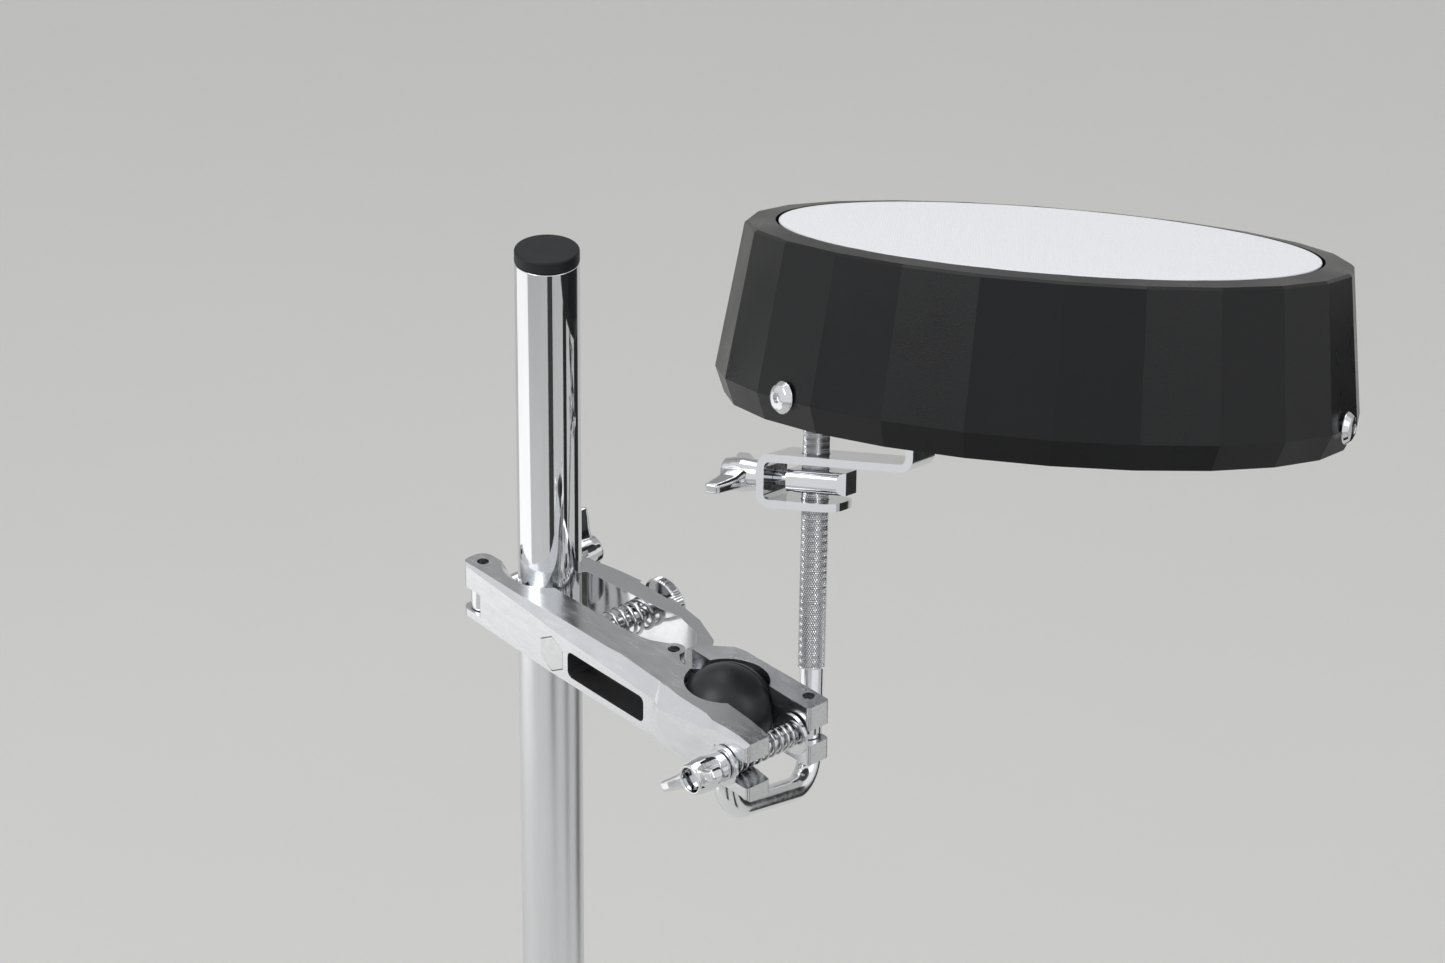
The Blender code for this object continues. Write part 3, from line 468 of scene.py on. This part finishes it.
def tube_cap():
    low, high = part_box("tube_cap")
    radius = size("tube_cap").x / 2
    edge, dish = 1.1 * MM, 0.35 * MM
    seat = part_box("stand_tube")[1][2] + GAP
    plug = radius - 1.5 * MM - GAP
    profile = [
        (0, high[2] - dish),
        (radius * 0.55, high[2] - dish * 0.7),
        (radius - 3 * edge, high[2] - dish * 0.1),
        *rounding(radius - edge, high[2] - edge, edge, 90, 0),
        (radius, seat + 0.3 * MM),
        (radius - 0.3 * MM, seat),
        (plug, seat),
        (plug - 0.2 * MM, low[2]),
        (0, low[2]),
    ]
    show(lathe(Matrix.Identity(4), profile), CAP, "tube_cap_moulded", "tube_cap")


# Ball and rod


def ball():
    """The nylon ball, with the slit that lets it close on the rod."""
    radius = size("ball").z / 2
    slit, slit_depth = 0.35 * MM, 0.5 * MM
    bore = 5.2 * MM
    lowest = math.degrees(math.asin(bore / radius)) - 90
    place = axes(joint_at("rod_spin"), joint_axis("rod_spin"), (0.9, 0.45, 0))
    profile = [(0, radius), *rounding(0, 0, radius, 88, lowest, 70), (bore, 0), (0, 0)]
    obj = lathe(place, profile, 192)
    for vertex in obj.data.vertices:
        x, y, z = vertex.co
        if abs(y) < 2 * slit and vertex.co.length > 0.9 * radius:
            vertex.co *= 1 - slit_depth / radius * max(0, 1 - abs(y) / (2 * slit))
    show(obj, BALL, "ball_nylon", "ball")


def arc(before, corner, after, radius, steps=20):
    back, on = (before - corner).normalized(), (after - corner).normalized()
    half = back.angle(on) / 2
    centre = corner + (back + on).normalized() * (radius / math.sin(half))
    start = corner + back * (radius / math.tan(half)) - centre
    turn = back.cross(on).normalized()
    swept_by = -(math.pi - 2 * half)
    return [centre + Matrix.Rotation(swept_by * k / steps, 3, turn) @ start for k in range(steps + 1)]


KNURL_START = 47.3 * MM
KNURL_END = 145.6 * MM
KNURL_ROW = 0.26 * MM
KNURL_COUNT = 34
KNURL_DEPTH = 0.30 * MM
KNURL_ANGLE = math.radians(30)


def bent_rod():
    """Smooth bar through the ball and the two bends, then the diamond-knurled upright."""
    centre, up = joint_at("rod_spin"), joint_axis("rod_spin")
    corner = joint_at("bracket_swing")
    heel = centre + up * (corner - centre).dot(up)
    bar, knurled, bend = 4.75 * MM, 5.35 * MM, 13 * MM
    points = [centre + up * 7 * MM]
    points += arc(points[0], heel, corner, bend)
    points += arc(heel, corner, corner + up, bend)
    smooth_end = KNURL_START - 0.5 * MM
    count = 24
    first = bend / math.tan(math.radians(45))
    points += [corner + up * (first + (smooth_end - first) * (k + 1) / count) for k in range(count)]
    radii = [bar] * len(points)
    plain = len(points)
    rows = int((KNURL_END - KNURL_START) / KNURL_ROW)
    points += [corner + up * (KNURL_START + KNURL_ROW * k) for k in range(rows + 1)]
    radii += [knurled] * (rows + 1)
    points.append(corner + up * (KNURL_END + 0.4 * MM))
    radii.append(knurled - 0.7 * MM)
    slope = math.tan(KNURL_ANGLE) / knurled

    def diamonds(ring, around):
        along = (ring - plain) * KNURL_ROW
        if ring < plain or ring >= len(points) - 1:
            return 0.0
        wraps = [KNURL_COUNT * (around + side * along * slope) for side in (1, -1)]
        ridges = [abs(math.cos(w / 2)) for w in wraps]
        return -KNURL_DEPTH * (1 - min(ridges))

    steps = 6 * KNURL_COUNT
    obj = swept(points, radii, steps, diamonds)
    smooth(obj, 22)
    # The valley attribute holds the knurl's depth at each point, the mask for the painted shade in its
    # valleys.
    valley_shade_mask = obj.data.attributes.new("valley", "FLOAT", "POINT")
    turns = [2 * math.pi * k / steps for k in range(steps)]
    values = [-diamonds(ring, a) / KNURL_DEPTH for ring in range(len(points)) for a in turns]
    valley_shade_mask.data.foreach_set("value", values)
    show(obj, KNURLED_PAINTED_SHADE, "bent_rod_knurled", "bent_rod")


# Springs


EVEN_PITCH = 0.75  # share of a spring's pitch that doesn't ease towards its ends


def spring(node, turns, wire):
    """A compression spring along Y, closer wound at its ends, in its node's box."""
    low, high = (Vector(c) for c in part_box(node))
    centre = middle(node)
    radius = (high.x - low.x) / 2 - wire
    start, end = low.y + wire, high.y - wire
    steps = 40
    count = int(turns * steps)
    heights = []
    for k in range(count + 1):
        t = k / count
        ease = 0.5 - 0.5 * math.cos(math.pi * t)
        heights.append(start + (end - start) * (t * EVEN_PITCH + ease * (1 - EVEN_PITCH)))
    points = [
        (
            centre.x + radius * math.cos(2 * math.pi * k / steps),
            y,
            centre.z + radius * math.sin(2 * math.pi * k / steps),
        )
        for k, y in enumerate(heights)
    ]
    show(swept(points, [wire] * len(points), 14), SPRING, node + "_wire", node)


# Wing nuts

WING_SECTIONS = (  # distance from the axis, then the section's middle, half height and half thickness
    (1.0, 9.2, 5.4, 4.2),
    (6.0, 9.6, 5.3, 4.0),
    (9.0, 10.8, 4.9, 3.0),
    (13.0, 12.9, 4.1, 2.5),
    (16.6, 14.7, 3.0, 2.2),
    (17.4, 15.0, 2.3, 1.5),
)


def wing(shape, side):
    """One wing of a nut, lofted through its sections."""
    steps, squareness = 28, 0.45
    rows = []
    for x, centre, tall, thick in WING_SECTIONS:
        row = []
        for k in range(steps):
            c, s = math.cos(2 * math.pi * k / steps), math.sin(2 * math.pi * k / steps)
            y = math.copysign(abs(c) ** squareness, c) * thick
            z = centre + math.copysign(abs(s) ** squareness, s) * tall
            row.append(shape.verts.new(Vector((side * x, y, z)) * MM))
        rows.append(row)
    for row, after in zip(rows, rows[1:]):
        for k in range(steps):
            j = (k + 1) % steps
            shape.faces.new((row[k], row[j], after[j], after[k]))
    shape.faces.new(rows[0])
    shape.faces.new(rows[-1])


def wing_nut(node, joint, bore):
    """A cast wing nut: flaring hub, recessed end ring and broad wings that flow into the hub."""
    outward = joint_axis(joint)
    if (middle(node) - joint_at(joint)).dot(outward) < 0:
        outward = -outward
    points = [v.co for v in frame["nodes"][node].data.vertices]
    on_axis = [joint_at(joint) + outward * (p - joint_at(joint)).dot(outward) for p in points]
    tip = max(range(len(points)), key=lambda i: (points[i] - on_axis[i]).length)
    lowest = min((p - joint_at(joint)).dot(outward) for p in points)
    place = axes(joint_at(joint) + outward * lowest, outward, points[tip] - on_axis[tip])
    length, edge = 16.0, 0.6
    profile = [
        (bore, 0),
        (5.6, 0),
        (6.0, 0.4),
        (6.3, 3.0),
        (7.0, 8.0),
        (6.7, 12.0),
        *rounding(6.1 - edge, length - edge, edge, 10, 90, 4),
        (bore + 1.3, length),
        (bore + 0.9, length - 0.4),
        (bore + 0.9, 10.0),
        (bore, 10.0),
    ]
    hub = lathe(Matrix.Identity(4), [(r * MM, z * MM) for r, z in profile], 96)
    shape = bmesh.new()
    wing(shape, 1)
    wing(shape, -1)
    bmesh.ops.recalc_face_normals(shape, faces=shape.faces)
    mesh = bpy.data.meshes.new("wings")
    shape.to_mesh(mesh)
    shape.free()
    wings = link(mesh)
    recess, past = (bore + 0.9) * MM, 18 * MM
    cutter = lathe(Matrix.Identity(4), [(0, -MM), (recess, -MM), (recess, past), (0, past)], 96)
    for piece, other, operation in ((wings, cutter, "DIFFERENCE"), (hub, wings, "UNION")):
        boolean = piece.modifiers.new(operation, "BOOLEAN")
        boolean.solver = "EXACT"
        boolean.operation = operation
        boolean.object = other
        apply_modifiers(piece)
    remesh = hub.modifiers.new("voxels", "REMESH")
    remesh.mode = "VOXEL"
    remesh.voxel_size = 0.26 * MM
    soften = hub.modifiers.new("soften", "SMOOTH")
    soften.factor = 0.5
    soften.iterations = 7
    apply_modifiers(hub)
    bpy.data.objects.remove(wings)
    bpy.data.objects.remove(cutter)
    hub.data.shade_smooth()
    hub.matrix_world = place
    show(hub, CHROME, node + "_cast", node)


# Knurled nut


def knurled_nut():
    """The adjuster nut, its rim cut with straight teeth and its outer face dished."""
    low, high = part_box("knurled_nut")
    thickness = size("knurled_nut").y
    radius = size("knurled_nut").z / 2
    centre = middle("knurled_nut")
    place = axes(Vector((centre.x, low[1], centre.z)), (0, 1, 0), (1, 0, 0))
    bore, edge, teeth, depth = 3.3 * MM, 0.7 * MM, 60, 0.45 * MM
    face = radius - 2.2 * MM
    profile = [
        (bore, thickness - 0.6 * MM),
        (bore + 2.6 * MM, thickness - 0.6 * MM),
        (bore + 3.2 * MM, thickness - 0.9 * MM),
        (face, thickness - 0.9 * MM),
        (face + 0.5 * MM, thickness),
        (radius - edge, thickness),
        (radius, thickness - edge),
        (radius, edge),
        (radius - edge, 0),
        (bore, 0),
    ]
    obj = lathe(place, profile, 4 * teeth)
    for vertex in obj.data.vertices:
        flat = math.hypot(vertex.co.x, vertex.co.y)
        if flat > radius - 0.5 * edge:
            a = math.atan2(vertex.co.y, vertex.co.x)
            inward = 1 - depth / radius * (0.5 + 0.5 * math.cos(teeth * a))
            vertex.co.x *= inward
            vertex.co.y *= inward
    show(smooth(obj, 25), CHROME, "knurled_nut_cut", "knurled_nut")


# Pad


def pad_local(node):
    """(radius, lowest, highest) of a node in the pad's frame."""
    to_pad = PAD.inverted()
    points = [to_pad @ v.co for v in frame["nodes"][node].data.vertices]
    radius = max(math.hypot(p.x, p.y) for p in points)
    return radius, min(p.z for p in points), max(p.z for p in points)


def playing_sheet():
    """The white cloth disc, drawn tight over the rubber, its cut edge turned a little down."""
    radius, low, high = pad_local("playing_sheet")
    thickness, edge = 0.9 * MM, 0.45 * MM
    rings = 24
    flat = [(radius * 0.98 * k / rings, high) for k in range(rings)]
    under = high - thickness
    profile = [*flat, *rounding(radius - edge, high - edge, edge, 90, -90, 8), (0, under)]
    obj = show(lathe(PAD, profile, 192), CLOTH, "playing_sheet_cloth", "playing_sheet")


def layer(node, material, name, edge):
    radius, low, high = pad_local(node)
    profile = [
        (0, high),
        *rounding(radius - edge, high - edge, edge, 90, 0),
        *rounding(radius - edge, low + edge, edge, 0, -90),
        (0, low),
    ]
    show(lathe(PAD, profile, 128), material, name, node)


# Floor, light and camera


def stage():
    """A pale sweep: floor, then a curve up to the backdrop."""
    floor_z, near, far, bend = -0.62, 9.0, 4.5, 1.6
    curve = [(-near, floor_z), (far - bend, floor_z)]
    curve += [
        (far - bend + bend * math.sin(a), floor_z + bend - bend * math.cos(a))
        for a in [math.radians(9 * k) for k in range(1, 11)]
    ]
    curve.append((far, 7.0))
    shape = bmesh.new()
    half = 9.0
    rows = [[shape.verts.new((side * half, y, z)) for side in (-1, 1)] for y, z in curve]
    for row, after in zip(rows, rows[1:]):
        shape.faces.new((row[0], row[1], after[1], after[0]))
    mesh = bpy.data.meshes.new("sweep")
    shape.to_mesh(mesh)
    shape.free()
    obj = link(mesh, Matrix.Rotation(VIEW_AZIMUTH, 4, "Z"))
    obj.name = "floor_sweep"
    obj.data.shade_smooth()
    made, tree, shader = new_material("pale_floor", (0.60, 0.595, 0.58), 0.9)
    paint = mixed(tree, noise(tree, 3, 3), (0.59, 0.585, 0.57), (0.61, 0.605, 0.59))
    tree.links.new(paint, shader.inputs["Base Color"])
    obj.data.materials.append(made)


def softbox(name, azimuth, elevation, distance, width, height, power):
    """An area light that faces the clamp, placed by its direction from the camera's azimuth."""
    target = Vector((0.09, 0.03, 0.25))
    turn = VIEW_AZIMUTH + math.radians(azimuth)
    rise = math.radians(elevation)
    away = Vector((math.sin(turn) * math.cos(rise), -math.cos(turn) * math.cos(rise), math.sin(rise)))
    data = bpy.data.lights.new(name, "AREA")
    data.shape = "RECTANGLE"
    data.size, data.size_y = width, height
    data.energy = power
    lamp = bpy.data.objects.new(name, data)
    bpy.context.scene.collection.objects.link(lamp)
    lamp.location = target + away * distance
    lamp.rotation_euler = away.to_track_quat("Z", "Y").to_euler()


def flag(name, azimuth, distance, width, low, high, shade=0.012):
    """A dark card that the metal mirrors. It shades nothing else, and no camera sees it."""
    turn = VIEW_AZIMUTH + math.radians(azimuth)
    shape = bmesh.new()
    side = width / 2
    corners = [(-side, low), (side, low), (side, high), (-side, high)]
    shape.faces.new([shape.verts.new((x, -distance, z)) for x, z in corners])
    mesh = bpy.data.meshes.new(name)
    shape.to_mesh(mesh)
    shape.free()
    card = link(mesh, Matrix.Translation((0.05, 0, 0)) @ Matrix.Rotation(turn, 4, "Z"))
    card.name = name
    card.data.materials.append(new_material(name + "_cloth", (shade, shade, shade), 0.9)[0])
    card.visible_camera = False
    card.visible_diffuse = False
    card.visible_shadow = False


def lights():
    world = bpy.data.worlds.new("studio")
    bpy.context.scene.world = world
    world.use_nodes = True
    background = world.node_tree.nodes["Background"]
    background.inputs["Color"].default_value = (0.98, 0.99, 1.0, 1)
    background.inputs["Strength"].default_value = 0.83
    softbox("key_light", -60, 45, 2.6, 1.4, 1.4, 22)
    softbox("fill_light", 60, 35, 2.8, 1.0, 1.8, 8)
    softbox("top_light", 170, 62, 2.6, 2.2, 1.6, 14)
    flag("front_flag", 9, 1.0, 0.30, -0.60, 0.24, 0.05)
    flag("side_flag", 62, 0.80, 0.20, -0.60, 0.12)
    flag("rear_flag", 118, 0.75, 0.34, -0.60, 0.20)
    flag("far_flag", 180, 2.4, 2.0, 0.9, 2.2, 0.36)
    softbox("low_card", -97, -19, 1.5, 1.5, 0.7, 2.0)
    bpy.context.scene.view_settings.view_transform = "Standard"


def camera():
    data = bpy.data.cameras.new("camera")
    data.lens = LENS
    data.sensor_width = 36
    data.clip_end = 100
    obj = bpy.data.objects.new("camera", data)
    bpy.context.scene.collection.objects.link(obj)
    looking = (
        Matrix.Rotation(VIEW_AZIMUTH, 4, "Z")
        @ Matrix.Rotation(math.pi / 2 - VIEW_PITCH, 4, "X")
        @ Matrix.Rotation(VIEW_ROLL, 4, "Z")
    )
    obj.matrix_world = Matrix.Translation(VIEW_POINT) @ looking
    bpy.context.scene.camera = obj


camera()
stage()
lights()

stand_tube()
tube_cap()
ball()
bent_rod()
spring("jaw_spring", 6.5, 0.75 * MM)
spring("ball_spring", 9.5, 0.6 * MM)
knurled_nut()
playing_sheet()
layer("rubber_pad", RUBBER, "rubber_layer", 0.6 * MM)
layer("foam_core", FOAM, "foam_layer", 2.0 * MM)

# Painted shade: the faces of these pockets get the dark material, standing in for the shade that falls
# in them.
POCKETS = (  # the window and the hex head's pocket, in mm
    ((44, -27.2, 194.2), (91, -16.6, 206.1)),
    ((27.3, -27.7, 191.5), (42, -22, 208.5)),
)
clamp = eased("clamp_body", CAST, 0.55 * MM)
clamp.data.materials.append(POCKET_PAINTED_SHADE)
for low, high in POCKETS:
    paint_shade_inside(clamp, Vector(low) * MM, Vector(high) * MM)
eased("ball_jaw", CAST, 0.55 * MM)
eased("tube_jaw", CHROME, 1.2 * MM)
eased("adjuster_bolt", SPRING, 0.35 * MM)
eased("bracket", CHROME, 0.45 * MM)
eased("eye_bolt", CHROME, 0.5 * MM)
eased("pad_shell", SHELL, 0.9 * MM, angle=8)
eased("base_board", BOARD, 0.6 * MM)
for swing_bolt in ("tube_swing_bolt", "ball_swing_bolt"):
    eased(swing_bolt, CHROME, 0.4 * MM)
for pin in ("hinge_pin", "tube_bolt_pin", "jaw_pin"):
    eased(pin, PIN, 0.3 * MM)
for washer in ("front_washer", "spring_washer", "tube_washer", "bracket_washer"):
    eased(washer, CHROME, 0.25 * MM)
for screw in ("shell_screw_1", "shell_screw_2", "shell_screw_3", "bracket_screw_1", "bracket_screw_2"):
    eased(screw, CHROME, 0.3 * MM)
wing_nut("tube_wing_nut", "tube_wing_nut_spin", 3.9)
wing_nut("ball_wing_nut", "ball_wing_nut_spin", 3.9)
wing_nut("bracket_wing_nut", "bracket_wing_nut_spin", 3.2)
